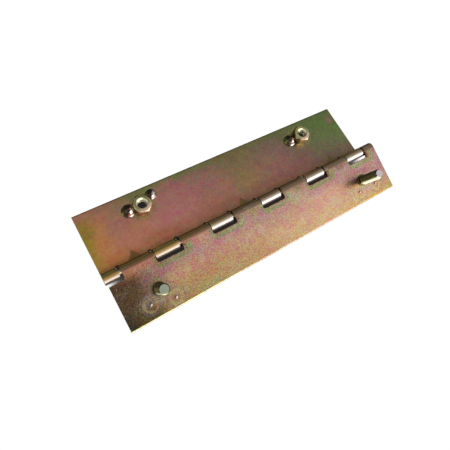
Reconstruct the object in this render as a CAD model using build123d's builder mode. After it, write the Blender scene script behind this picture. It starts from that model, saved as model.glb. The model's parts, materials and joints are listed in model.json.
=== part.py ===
from build123d import *
import math
import os

# Piano hinge with two welded bolts on one leaf and two welded nuts on the other.
#
# Frame, in millimetres: the origin is on the bolt leaf's mounting face, midway between the two bolts.
# +X runs along the pin, +Y points from the bolt leaf to the nut leaf, and +Z is the way the bolts stand.

# Sheet, pin and barrel
sheet = 1.5                     # thickness of both leaves
barrel_radius = 3.25            # outside of every rolled knuckle
bore_radius = barrel_radius - sheet
pin_radius = 1.7                # leaves 0.05 mm of running clearance in the knuckles
curl_angle = 297                # how far round the pin each knuckle is rolled
rest_fold = 10.9                # the nut leaf hangs this many degrees below flat

# Bolt leaf
bolt_spacing = 149.4
bolt_leaf_width = 30.7          # pin axis to outer edge
bolt_from_axis = 17.25          # pin axis to bolt
left_margin = 22.2              # left end of the leaf to the left bolt
right_margin = 21.0             # right bolt to the right end of the leaf

# Knuckles: the nut leaf's are narrower, and sit towards the left of the gaps that they turn in
pitch = 35.0
nut_knuckle = 14.35             # width of a full knuckle of the nut leaf
first_knuckle_end = 7.55        # right end of the nut leaf's short first knuckle, from the bolt leaf's left end
overhang = 0.95                 # how far the nut leaf's left end passes the bolt leaf's
gap_left = 0.5
gap_right = 1.4
full_knuckles = 5               # full knuckles of the nut leaf
notch_depth = 4.7               # bolt leaf: pin axis to the bottom of a notch
notch_radius = 1.2
slot_depth = 3.5                # nut leaf: pin axis to the bottom of a slot
relief_depth = 4.2              # nut leaf: pin axis to the bottom of a slot's corner relief
relief_width = 1.8
relief_radius = 0.55

# Nut leaf
nut_leaf_width = 38.8           # pin axis to outer edge
nut_spacing = 114.6
nut_from_axis = 28.3            # pin axis to nut
left_nut_x = -61.6
nut_hole_radius = 3.3

# M6 hardware
across_flats = 10.0
nut_height = 5.0
thread_radius = 3.0
tapped_radius = 2.5             # minor radius of the nut's thread
nut_mouth_radius = 3.2          # countersink at both ends of the thread
head_height = 4.0
shoulder_radius = 3.85
shoulder_rise = 1.2             # shoulder above the leaf's face
bolt_rise = 16.4                # bolt tip above the leaf's face
tip_chamfer = 0.65
corner_radius = across_flats / 2 / math.cos(math.pi / 6)
face_radius = 4.75              # flat circle left on a hexagon's end by the cone that cuts its corners
nut_rotation = {"left": 44, "right": 40}
head_rotation = 30
shoulder_clearance = 0.05

# Small rounding
edge_break = 0.2
pin_setback = 0.3               # pin ends, inside the ends of the barrel
touch = 0.01                    # closer than this counts as on the same face
outer_edge_radius = 0.6         # rolled-over edge along the outside of the bolt leaf
pip_radius = 0.9                # weld marks that come through beside each bolt
pip_height = 0.4

# Worked-out places
axis_y = bolt_from_axis
axis_z = -barrel_radius
left_end = -bolt_spacing / 2 - left_margin
right_end = bolt_spacing / 2 + right_margin
leaf_length = right_end - left_end
first_full_knuckle = left_end + first_knuckle_end + pitch - nut_knuckle
nut_leaf_left = left_end - overhang
nut_leaf_right = first_full_knuckle + (full_knuckles - 1) * pitch + nut_knuckle
nut_leaf_length = nut_leaf_right - nut_leaf_left
far = 4 * barrel_radius         # past the barrel, for cutters
bolt_x = {"left": -bolt_spacing / 2, "right": bolt_spacing / 2}
nut_x = {"left": left_nut_x, "right": left_nut_x + nut_spacing}

# Tack welds: centre from the fastener's axis (along the pin, then away from it), radius, height
nut_welds = {
    ("left", "left"): (-7.8, 0.9, 3.6, 3.8),
    ("left", "right"): (7.6, 4.6, 3.0, 2.2),
    ("right", "left"): (-8.3, 0.4, 3.6, 3.3),
    ("right", "right"): (6.6, 1.4, 2.4, 1.8),
}
bolt_welds = {
    ("left", "left"): (-7.6, 5.4, 2.9, 2.2),
    ("left", "right"): (6.0, 8.1, 2.9, 2.2),
    ("right", "left"): (-5.9, 6.0, 2.9, 2.2),
    ("right", "right"): (8.4, 5.6, 2.9, 2.2),
}

# A leaf is drawn on edge in its own plane: local x points at the pin axis from the leaf, and local y is
# the side on which the flat sheet lies tangent to the barrel. The nut leaf is the same section turned
# half round the pin and then let down by the rest fold.
nut_turn = math.radians(180 - rest_fold)


def bolt_section_plane(x):
    return Plane(origin=(x, axis_y, axis_z), x_dir=(0, 1, 0), z_dir=(1, 0, 0))


def nut_section_plane(x):
    across = (0, math.cos(nut_turn), math.sin(nut_turn))
    return Plane(origin=(x, axis_y, axis_z), x_dir=across, z_dir=(1, 0, 0))


def bolt_face(x, from_axis):
    """Plane on the bolt leaf's mounting face, normal away from the leaf."""
    return Plane(origin=(x, axis_y - from_axis, 0), x_dir=(1, 0, 0), z_dir=(0, 0, 1))


def nut_face(x, from_axis):
    """Plane on the nut leaf's nut side, normal away from the leaf, local y away from the pin."""
    away = Vector(0, -math.cos(nut_turn), -math.sin(nut_turn))
    normal = Vector(0, math.sin(nut_turn), -math.cos(nut_turn))
    centre = Vector(x, axis_y, axis_z) + away * from_axis - normal * (barrel_radius - sheet)
    return Plane(origin=centre, x_dir=(1, 0, 0), z_dir=normal)


def bolt_underside(x, from_axis):
    """Plane on the bolt leaf's back, normal away from the leaf."""
    return Plane(origin=(x, axis_y - from_axis, -sheet), x_dir=(1, 0, 0), z_dir=(0, 0, -1))


def leaf_outline(width):
    """Flat sheet and rolled knuckle, on edge, with the pin axis at the origin."""
    end = math.radians(90 - curl_angle)
    middle = math.radians(90 - curl_angle / 2)
    outer_end = (barrel_radius * math.cos(end), barrel_radius * math.sin(end))
    inner_end = (bore_radius * math.cos(end), bore_radius * math.sin(end))
    outer_middle = (barrel_radius * math.cos(middle), barrel_radius * math.sin(middle))
    inner_middle = (bore_radius * math.cos(middle), bore_radius * math.sin(middle))
    with BuildLine() as outline:
        Line((-width, bore_radius), (-width, barrel_radius))
        Line((-width, barrel_radius), (0, barrel_radius))
        ThreePointArc((0, barrel_radius), outer_middle, outer_end)
        Line(outer_end, inner_end)
        ThreePointArc(inner_end, inner_middle, (0, bore_radius))
        Line((0, bore_radius), (-width, bore_radius))
    return outline.line


def dome_outline(radius, height):
    """Half of a spherical cap's section, with the cap's axis along y and its base on the x axis."""
    ball = (radius ** 2 + height ** 2) / (2 * height)
    middle = (math.asin((ball - height) / ball) + math.pi / 2) / 2
    on_cap = (ball * math.cos(middle), ball * math.sin(middle) + height - ball)
    with BuildLine() as outline:
        Line((0, 0), (radius, 0))
        ThreePointArc((radius, 0), on_cap, (0, height))
        Line((0, height), (0, 0))
    return outline.line


def hexagon_cutter_outline(level, outward):
    """Half of the 30 degree cone that cuts a hexagon's corners back at one end."""
    slope = (across_flats - face_radius) * math.tan(math.radians(30))
    with BuildLine() as outline:
        Polyline(
            (face_radius, level),
            (across_flats, level),
            (across_flats, level - outward * slope),
            close=True,
        )
    return outline.line


def across_plane(plane):
    """Section through a plane's normal: local x is the plane's x, local y is its normal."""
    return Plane(origin=plane.origin, x_dir=plane.x_dir, z_dir=-plane.y_dir)


def spin_axis(plane):
    return Axis(plane.origin, plane.z_dir)


def exposed_edges(leaf, face, nearest):
    """Edges to round: a leaf's outline on one face, from a distance off the pin axis, and its knuckle ends."""
    edges = []
    for edge in leaf.edges():
        place = face.to_local_coords(edge.center())
        on_outline = abs(place.Z) < touch and abs(place.Y) > nearest
        on_knuckle_end = edge.geom_type == GeomType.CIRCLE and abs(edge.radius - barrel_radius) < touch
        if on_outline or on_knuckle_end:
            edges.append(edge)
    return edges


def make_bolt_leaf():
    with BuildPart() as leaf:
        with BuildSketch(bolt_section_plane(left_end)):
            add(leaf_outline(bolt_leaf_width))
            make_face()
        extrude(amount=leaf_length)
        # Rolled-over outer edge
        outer = leaf.edges().filter_by(Axis.X).filter_by_position(Axis.Z, -0.01, 0.01).sort_by(Axis.Y)[0]
        fillet(outer, outer_edge_radius)
        # Gaps for the nut leaf's knuckles: an open one at the left end, then five between the tabs
        with BuildSketch(Plane.XY.offset(sheet)):
            for start, end in notch_spans():
                with Locations(((start + end) / 2, axis_y - notch_depth + far / 2)):
                    RectangleRounded(end - start, far, notch_radius)
        extrude(amount=-far, mode=Mode.SUBTRACT)
        fillet(exposed_edges(leaf, bolt_face(0, 0), touch), edge_break)
        # Holes for the bolts' shoulders
        for side in bolt_x:
            with Locations(bolt_face(bolt_x[side], bolt_from_axis)):
                Hole(shoulder_radius + shoulder_clearance)
        # Low pips where the tack welds underneath have come through
        for (side, _), (along, away, _, _) in bolt_welds.items():
            pip = bolt_face(bolt_x[side] + along, bolt_from_axis + away)
            with BuildSketch(across_plane(pip)):
                add(dome_outline(pip_radius, pip_height))
                make_face()
            revolve(axis=spin_axis(pip))
    return leaf


def make_nut_leaf():
    with BuildPart() as leaf:
        with BuildSketch(nut_section_plane(nut_leaf_left)):
            add(leaf_outline(nut_leaf_width))
            make_face()
        extrude(amount=nut_leaf_length)
        # Gaps for the bolt leaf's knuckles, each with a relief in its two corners
        with BuildSketch(nut_face(0, 0).offset(far)):
            for start, end in slot_spans():
                with Locations(((start + end) / 2, slot_depth - far / 2)):
                    Rectangle(end - start, far)
                for corner in (start + relief_width / 2, end - relief_width / 2):
                    with Locations((corner, relief_depth - far / 2)):
                        RectangleRounded(relief_width, far, relief_radius)
        extrude(amount=-2 * far, mode=Mode.SUBTRACT)
        fillet(exposed_edges(leaf, nut_face(0, 0), slot_depth - touch), edge_break)
        for side in nut_x:
            with Locations(nut_face(nut_x[side], nut_from_axis)):
                Hole(nut_hole_radius)
    return leaf


def notch_spans():
    """Start and end, along the pin, of each gap in the bolt leaf's barrel."""
    spans = [(left_end - far, left_end + first_knuckle_end + gap_right)]
    for turn in range(full_knuckles):
        knuckle = first_full_knuckle + turn * pitch
        spans.append((knuckle - gap_left, knuckle + nut_knuckle + gap_right))
    return spans


def slot_spans():
    """Start and end, along the pin, of each gap in the nut leaf's barrel."""
    spans = []
    for turn in range(full_knuckles):
        knuckle = first_full_knuckle + turn * pitch
        spans.append((knuckle - pitch + nut_knuckle, knuckle))
    return spans


def make_pin():
    """Pin through both leaves: it runs free, but its right end is swaged tight in the last knuckle."""
    with BuildPart() as pin:
        with BuildSketch(bolt_section_plane(nut_leaf_left + pin_setback)):
            Circle(pin_radius)
        extrude(amount=right_end - nut_leaf_left - 2 * pin_setback)
        with BuildSketch(bolt_section_plane(nut_leaf_right + gap_right)):
            Circle(bore_radius)
        extrude(amount=right_end - nut_leaf_right - gap_right - pin_setback)
        chamfer(pin.edges().filter_by(GeomType.CIRCLE).group_by(Axis.X)[-1], edge_break)
        chamfer(pin.edges().filter_by(GeomType.CIRCLE).group_by(Axis.X)[0], edge_break)
    return pin


def make_nut(side):
    face = nut_face(nut_x[side], nut_from_axis)
    with BuildPart() as nut:
        with BuildSketch(face):
            RegularPolygon(corner_radius, 6, rotation=nut_rotation[side])
        extrude(amount=nut_height)
        with BuildSketch(across_plane(face)):
            for level, outward in ((nut_height, 1), (0, -1)):
                add(hexagon_cutter_outline(level, outward))
                make_face()
        revolve(axis=spin_axis(face), mode=Mode.SUBTRACT)
        with BuildSketch(across_plane(face)):
            with BuildLine():
                Polyline(
                    (0, 0),
                    (nut_mouth_radius, 0),
                    (tapped_radius, nut_mouth_radius - tapped_radius),
                    (tapped_radius, nut_height - nut_mouth_radius + tapped_radius),
                    (nut_mouth_radius, nut_height),
                    (0, nut_height),
                    close=True,
                )
            make_face()
        revolve(axis=spin_axis(face), mode=Mode.SUBTRACT)
    return nut


def make_bolt(side):
    """Bolt put in from below: hexagon head, short shoulder through the leaf, then the M6 shank."""
    face = bolt_face(bolt_x[side], bolt_from_axis)
    head = face.offset(-sheet - head_height)
    with BuildPart() as bolt:
        with BuildSketch(head):
            RegularPolygon(corner_radius, 6, rotation=head_rotation)
        extrude(amount=head_height)
        with BuildSketch(across_plane(head)):
            add(hexagon_cutter_outline(0, -1))
            make_face()
        revolve(axis=spin_axis(head), mode=Mode.SUBTRACT)
        with BuildSketch(across_plane(face)):
            with BuildLine():
                Polyline(
                    (0, -sheet),
                    (shoulder_radius, -sheet),
                    (shoulder_radius, shoulder_rise - edge_break),
                    (shoulder_radius - edge_break, shoulder_rise),
                    (thread_radius, shoulder_rise),
                    (thread_radius, bolt_rise - tip_chamfer),
                    (thread_radius - tip_chamfer, bolt_rise),
                    (0, bolt_rise),
                    close=True,
                )
            make_face()
        revolve(axis=spin_axis(face))
    return bolt


def make_weld(plane, radius, height, neighbour):
    """Tack weld: a dome of weld metal on a leaf, fused against the flank of the nut or bolt head."""
    with BuildPart() as weld:
        with BuildSketch(across_plane(plane)):
            add(dome_outline(radius, height))
            make_face()
        revolve(axis=spin_axis(plane))
        add(neighbour, mode=Mode.SUBTRACT)
    return weld


def save(piece, name):
    piece.part.label = name
    export_step(piece.part, f"parts/{name}.step")


os.makedirs("parts", exist_ok=True)
save(make_bolt_leaf(), "bolt_leaf")
save(make_nut_leaf(), "nut_leaf")
save(make_pin(), "hinge_pin")

nuts = {side: make_nut(side) for side in nut_x}
bolts = {side: make_bolt(side) for side in bolt_x}
for side, nut in nuts.items():
    save(nut, f"{side}_nut")
for side, bolt in bolts.items():
    save(bolt, f"{side}_bolt")

for (side, end), (along, away, radius, height) in nut_welds.items():
    place = nut_face(nut_x[side] + along, nut_from_axis + away)
    save(make_weld(place, radius, height, nuts[side].part), f"{side}_nut_{end}_tack_weld")

for (side, end), (along, away, radius, height) in bolt_welds.items():
    place = bolt_underside(bolt_x[side] + along, bolt_from_axis + away)
    save(make_weld(place, radius, height, bolts[side].part), f"{side}_bolt_{end}_tack_weld")
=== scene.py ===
import json
import logging
import math
from dataclasses import dataclass, field
from enum import Enum
from typing import Any, Callable, Sequence, Union

import bmesh
import bpy
from mathutils import Matrix, Vector


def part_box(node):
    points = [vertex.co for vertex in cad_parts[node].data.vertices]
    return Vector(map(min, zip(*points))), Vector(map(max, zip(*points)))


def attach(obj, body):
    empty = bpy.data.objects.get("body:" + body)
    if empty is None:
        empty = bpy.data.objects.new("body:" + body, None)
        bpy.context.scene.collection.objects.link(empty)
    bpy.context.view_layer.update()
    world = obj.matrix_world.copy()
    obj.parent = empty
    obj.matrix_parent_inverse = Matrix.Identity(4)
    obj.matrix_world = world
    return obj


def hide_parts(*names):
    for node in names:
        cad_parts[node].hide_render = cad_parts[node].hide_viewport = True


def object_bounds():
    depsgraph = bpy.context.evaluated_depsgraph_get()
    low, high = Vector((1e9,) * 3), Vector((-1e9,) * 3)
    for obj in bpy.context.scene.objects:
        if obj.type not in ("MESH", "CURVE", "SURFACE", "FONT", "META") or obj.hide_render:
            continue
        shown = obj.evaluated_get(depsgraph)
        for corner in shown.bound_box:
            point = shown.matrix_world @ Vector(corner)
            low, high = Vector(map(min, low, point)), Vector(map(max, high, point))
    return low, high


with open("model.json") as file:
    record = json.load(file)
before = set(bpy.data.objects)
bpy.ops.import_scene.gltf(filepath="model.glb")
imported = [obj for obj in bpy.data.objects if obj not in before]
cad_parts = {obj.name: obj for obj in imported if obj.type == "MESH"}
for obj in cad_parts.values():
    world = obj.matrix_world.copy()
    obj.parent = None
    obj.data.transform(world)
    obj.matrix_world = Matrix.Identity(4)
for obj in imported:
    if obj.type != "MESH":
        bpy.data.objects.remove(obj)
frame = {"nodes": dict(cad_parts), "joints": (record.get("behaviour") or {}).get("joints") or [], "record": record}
cad_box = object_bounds()

log = logging.getLogger("piano_hinge")

MM = 0.001                      # pieces are modelled in millimetres and placed in metres
SIDES = ("left", "right")
HEXAGON = 6                     # sides of a nut or bolt head
FINE_SIDES = 96                 # sides of a round cylinder
ROUND_SPIN = 1.1                # degrees that a round cylinder is turned by
TOUCH = 1e-4                    # millimetres that count as the same place
SPARE = 0.4                     # how far a cutter or an end runs past what it meets
PITCH = 35.0                    # step from one knuckle of a leaf to the next
BARREL = 3.25                   # radius of the knuckles
SHEET = 1.5                     # thickness of both leaves
NUT_LEAF_WIDTH = 38.8           # pin axis to outer edge
NUT_FROM_AXIS = 28.3            # pin axis to nut
STUD_RISE = 16.4                # bolt tip above the leaf's face
DOWNWARDS = Vector((0, 0, -1))
WHITE = (1.0, 1.0, 1.0)

Colour = tuple[float, float, float]
Stops = tuple[tuple[float, Colour], ...]

STUD_TIPS = {"left": (0.66, 0.74, 0.56), "right": (0.80, 0.70, 0.72)}
NUT_TURNS = {"left": 14.0, "right": 10.0}
# Radius and height of each bead: by nut and side of the nut, and the same under every bolt
NUT_BEADS = {
    ("left", "left"): (3.6, 3.8),
    ("left", "right"): (3.0, 2.2),
    ("right", "left"): (3.6, 3.3),
    ("right", "right"): (2.4, 1.8),
}
HEAD_BEAD = (2.9, 2.2)


# --------------------------------------------------------------------------------------
# Colours of the film: each stop is a share of the way from 0 to 1, and its colour
# --------------------------------------------------------------------------------------

# The next two are the painted shade ring and the painted glint at each knuckle's end
GLINT_SHADE = (0.04, 0.03, 0.015)
GLINT_TINT = (1.0, 0.95, 0.75)
# Colour of the dark wedges beside the nut leaf's barrel
WEDGE_TINT = (0.15, 0.11, 0.03)
SCRATCHED = (0.95, 0.90, 0.76)
FLECKED = (0.86, 0.66, 0.40)
COLLAR = (0.05, 0.04, 0.02)
BLUSH = (0.52, 0.36, 0.30)
GRIME = (0.10, 0.08, 0.05)
GRAIN_LIGHT = ((0.30, (0.0, 0.0, 0.0)), (0.70, (1.0, 0.97, 0.86)))

# Distance from the pin axis, and the colours from the left end to the right end: the film's colour with painted
# highlight and painted shade. The dark first stops are a painted reflection of the dark overhead.
BOLT_LEAF_BANDS = (
    (2.0, (
        (0.00, (0.22, 0.12, 0.06)), (0.08, (0.88, 0.38, 0.25)), (0.20, (0.90, 0.40, 0.27)),
        (0.33, (0.82, 0.42, 0.33)), (0.48, (0.50, 0.36, 0.22)), (0.62, (0.46, 0.33, 0.18)),
        (0.80, (0.40, 0.26, 0.18)), (1.00, (0.36, 0.24, 0.20)),
    )),
    (8.0, (
        (0.00, (0.16, 0.09, 0.05)), (0.05, (0.24, 0.13, 0.07)), (0.12, (0.58, 0.32, 0.27)),
        (0.24, (0.74, 0.44, 0.37)), (0.45, (0.66, 0.43, 0.34)), (0.60, (0.74, 0.50, 0.37)),
        (0.78, (0.72, 0.40, 0.38)), (0.90, (0.54, 0.30, 0.27)), (1.00, (0.56, 0.36, 0.32)),
    )),
    (15.0, (
        (0.00, (0.15, 0.09, 0.05)), (0.05, (0.22, 0.13, 0.07)), (0.11, (0.52, 0.30, 0.25)),
        (0.19, (0.86, 0.49, 0.29)), (0.30, (0.78, 0.42, 0.29)), (0.55, (0.78, 0.45, 0.34)),
        (0.78, (0.90, 0.50, 0.38)), (0.88, (0.60, 0.31, 0.28)), (1.00, (0.64, 0.33, 0.32)),
    )),
    (22.5, (
        (0.00, (0.12, 0.08, 0.05)), (0.06, (0.20, 0.13, 0.07)), (0.12, (0.62, 0.38, 0.24)),
        (0.22, (0.72, 0.43, 0.21)), (0.40, (0.74, 0.42, 0.25)), (0.55, (0.86, 0.52, 0.32)),
        (0.72, (0.84, 0.55, 0.34)), (0.88, (0.80, 0.50, 0.34)), (1.00, (0.64, 0.38, 0.27)),
    )),
    (28.5, (
        (0.00, (0.08, 0.07, 0.04)), (0.07, (0.18, 0.13, 0.05)), (0.14, (0.54, 0.34, 0.12)),
        (0.24, (0.64, 0.45, 0.20)), (0.40, (0.68, 0.43, 0.22)), (0.55, (0.78, 0.50, 0.28)),
        (0.72, (0.82, 0.54, 0.30)), (0.88, (0.74, 0.48, 0.19)), (1.00, (0.62, 0.40, 0.14)),
    )),
)
# Round the knuckles at the leaf's left end: 0 at the underside, 0.5 on top. Besides the film's colour, the stops
# hold painted highlight and painted shade by angle.
BOLT_LEAF_ROLL = (
    (0.00, (0.24, 0.16, 0.08)), (0.36, (0.46, 0.30, 0.10)), (0.40, (0.68, 0.46, 0.15)),
    (0.44, (0.40, 0.27, 0.10)), (0.47, (0.24, 0.14, 0.07)), (0.50, (0.32, 0.16, 0.09)),
    (0.53, (0.66, 0.30, 0.19)), (0.56, (0.92, 0.42, 0.28)), (1.00, (0.40, 0.26, 0.14)),
)
# The same at the right end
BOLT_LEAF_ROLL_RIGHT = (
    (0.00, (0.24, 0.17, 0.10)), (0.36, (0.44, 0.28, 0.15)), (0.40, (0.58, 0.40, 0.19)),
    (0.44, (0.34, 0.25, 0.13)), (0.47, (0.25, 0.17, 0.11)), (0.50, (0.25, 0.16, 0.11)),
    (0.55, (0.36, 0.25, 0.16)), (0.60, (0.50, 0.36, 0.23)), (1.00, (0.40, 0.28, 0.18)),
)

# Distance from the pin axis, and the colours from the left end to the right end: the film's colour with painted
# highlight and painted shade. The innermost band holds painted shade beside the barrel.
NUT_LEAF_BANDS = (
    (7.0, (
        (0.00, (0.60, 0.34, 0.08)), (0.06, (0.72, 0.28, 0.10)), (0.16, (0.60, 0.22, 0.12)),
        (0.30, (0.52, 0.21, 0.14)), (0.50, (0.38, 0.18, 0.12)), (0.75, (0.33, 0.15, 0.12)),
        (0.88, (0.22, 0.14, 0.10)), (1.00, (0.24, 0.16, 0.12)),
    )),
    (15.0, (
        (0.00, (0.56, 0.37, 0.07)), (0.05, (0.84, 0.37, 0.14)), (0.12, (0.76, 0.31, 0.20)),
        (0.28, (0.68, 0.27, 0.23)), (0.44, (0.54, 0.24, 0.18)), (0.54, (0.44, 0.27, 0.13)),
        (0.68, (0.42, 0.19, 0.16)), (0.80, (0.32, 0.17, 0.14)), (0.88, (0.24, 0.21, 0.12)),
        (1.00, (0.22, 0.25, 0.11)),
    )),
    (27.0, (
        (0.00, (0.52, 0.36, 0.06)), (0.05, (0.84, 0.36, 0.15)), (0.11, (0.66, 0.31, 0.22)),
        (0.28, (0.66, 0.28, 0.24)), (0.44, (0.50, 0.26, 0.20)), (0.55, (0.37, 0.26, 0.13)),
        (0.64, (0.38, 0.22, 0.16)), (0.72, (0.34, 0.21, 0.17)), (0.80, (0.22, 0.23, 0.12)),
        (0.90, (0.19, 0.26, 0.09)), (1.00, (0.17, 0.26, 0.08)),
    )),
    (33.0, (
        (0.00, (0.60, 0.34, 0.09)), (0.06, (0.78, 0.33, 0.20)), (0.14, (0.56, 0.33, 0.20)),
        (0.28, (0.58, 0.27, 0.22)), (0.44, (0.42, 0.25, 0.18)), (0.56, (0.33, 0.25, 0.12)),
        (0.70, (0.30, 0.21, 0.15)), (0.80, (0.19, 0.23, 0.09)), (0.92, (0.17, 0.26, 0.08)),
        (1.00, (0.22, 0.23, 0.10)),
    )),
    (37.2, (
        (0.00, (0.70, 0.34, 0.20)), (0.10, (0.58, 0.31, 0.20)), (0.20, (0.34, 0.34, 0.12)),
        (0.35, (0.32, 0.30, 0.13)), (0.55, (0.29, 0.25, 0.11)), (0.75, (0.22, 0.23, 0.09)),
        (1.00, (0.16, 0.23, 0.08)),
    )),
)
# Round the knuckles at the leaf's left end: 0 at the underside, 0.5 on top. Besides the film's colour, the stops
# hold a painted highlight on the -Y side and painted shade below it.
NUT_LEAF_ROLL = (
    (0.00, (0.14, 0.10, 0.06)), (0.33, (0.50, 0.42, 0.13)), (0.41, (0.64, 0.54, 0.17)),
    (0.44, (0.42, 0.33, 0.10)), (0.47, (0.42, 0.26, 0.08)), (0.50, (0.78, 0.47, 0.15)),
    (0.53, (0.60, 0.41, 0.18)), (0.56, (0.46, 0.37, 0.31)), (0.61, (0.56, 0.46, 0.40)),
    (0.65, (0.90, 0.66, 0.42)), (0.69, (0.50, 0.36, 0.22)), (0.74, (0.08, 0.06, 0.03)),
)
# The same at the right end
NUT_LEAF_ROLL_RIGHT = (
    (0.00, (0.14, 0.10, 0.07)), (0.33, (0.46, 0.31, 0.18)), (0.41, (0.62, 0.44, 0.24)),
    (0.44, (0.45, 0.34, 0.20)), (0.47, (0.43, 0.31, 0.20)), (0.50, (0.58, 0.47, 0.34)),
    (0.53, (0.68, 0.64, 0.58)), (0.56, (0.64, 0.63, 0.62)), (0.61, (0.74, 0.68, 0.64)),
    (0.65, (0.90, 0.68, 0.64)), (0.69, (0.50, 0.36, 0.32)), (0.74, (0.08, 0.06, 0.04)),
)
# Small parts: outwards from the axis, with 1 at 10 mm
PIN_BODY = (
    (0.0, (0.46, 0.38, 0.22)), (1.0, (0.62, 0.54, 0.38)),
)
STUD_BODY = (
    (0.24, (0.10, 0.09, 0.03)), (0.30, (0.17, 0.16, 0.06)), (0.33, (0.06, 0.05, 0.03)),
    (0.38, (0.40, 0.34, 0.18)), (0.50, (0.42, 0.36, 0.18)),
)
# Nut: painted shade in the bore, a painted highlight round the countersink, then the olive-gold face, a paler ring
# and darker corners
NUT_BODY = (
    (0.20, (0.05, 0.05, 0.03)), (0.25, (0.08, 0.08, 0.04)), (0.26, (1.00, 0.98, 0.62)),
    (0.32, (0.96, 0.92, 0.56)), (0.335, (0.40, 0.38, 0.15)), (0.43, (0.44, 0.42, 0.17)),
    (0.49, (0.62, 0.58, 0.32)), (0.52, (0.26, 0.18, 0.08)),
)
# Weld beads: from the painted shade of the dark side, through a painted glint, to the bright side
WELD_SHADE_AND_GLINT = (
    (0.00, (0.34, 0.36, 0.10)), (0.22, (0.10, 0.08, 0.04)), (0.50, (0.07, 0.05, 0.04)),
    (0.62, (0.52, 0.28, 0.27)), (0.72, (0.96, 0.92, 0.90)), (0.84, (0.42, 0.44, 0.42)),
    (1.00, (0.22, 0.16, 0.08)),
)


# --------------------------------------------------------------------------------------
# Shader graphs
# --------------------------------------------------------------------------------------


class Wire:
    """A node's output that takes part in Python arithmetic."""

    def __init__(self, graph: "Graph", socket: bpy.types.NodeSocket) -> None:
        """Wraps one output socket of a graph."""
        self.graph = graph
        self.socket = socket

    def __add__(self, other: Any) -> "Wire":
        """self + other"""
        return self.graph.math("ADD", self, other)

    def __sub__(self, other: Any) -> "Wire":
        """self - other"""
        return self.graph.math("SUBTRACT", self, other)

    def __rsub__(self, other: Any) -> "Wire":
        """other - self"""
        return self.graph.math("SUBTRACT", other, self)

    def __mul__(self, other: Any) -> "Wire":
        """self * other"""
        return self.graph.math("MULTIPLY", self, other)

    __rmul__ = __mul__

    def __truediv__(self, other: Any) -> "Wire":
        """self / other"""
        return self.graph.math("DIVIDE", self, other)

    def __neg__(self) -> "Wire":
        """-self"""
        return self * -1.0

    def __abs__(self) -> "Wire":
        """abs(self)"""
        return self.graph.math("ABSOLUTE", self)

    def most(self, other: Any) -> "Wire":
        """The larger of two values."""
        return self.graph.math("MAXIMUM", self, other)

    def rise(self, start: float, end: float) -> "Wire":
        """Smooth step.

        Args:
            start: value at which the step leaves 0.
            end: value at which it reaches 1; below start for a step that falls.

        Returns:
            A value from 0 to 1.
        """
        low, high = min(start, end), max(start, end)
        step = self.graph.node(
            "ShaderNodeMapRange",
            {"interpolation_type": "SMOOTHSTEP"},
            {"Value": self, "From Min": low, "From Max": high},
        )
        return step if start < end else 1.0 - step


Source = Union[Wire, float, int, tuple]


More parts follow.
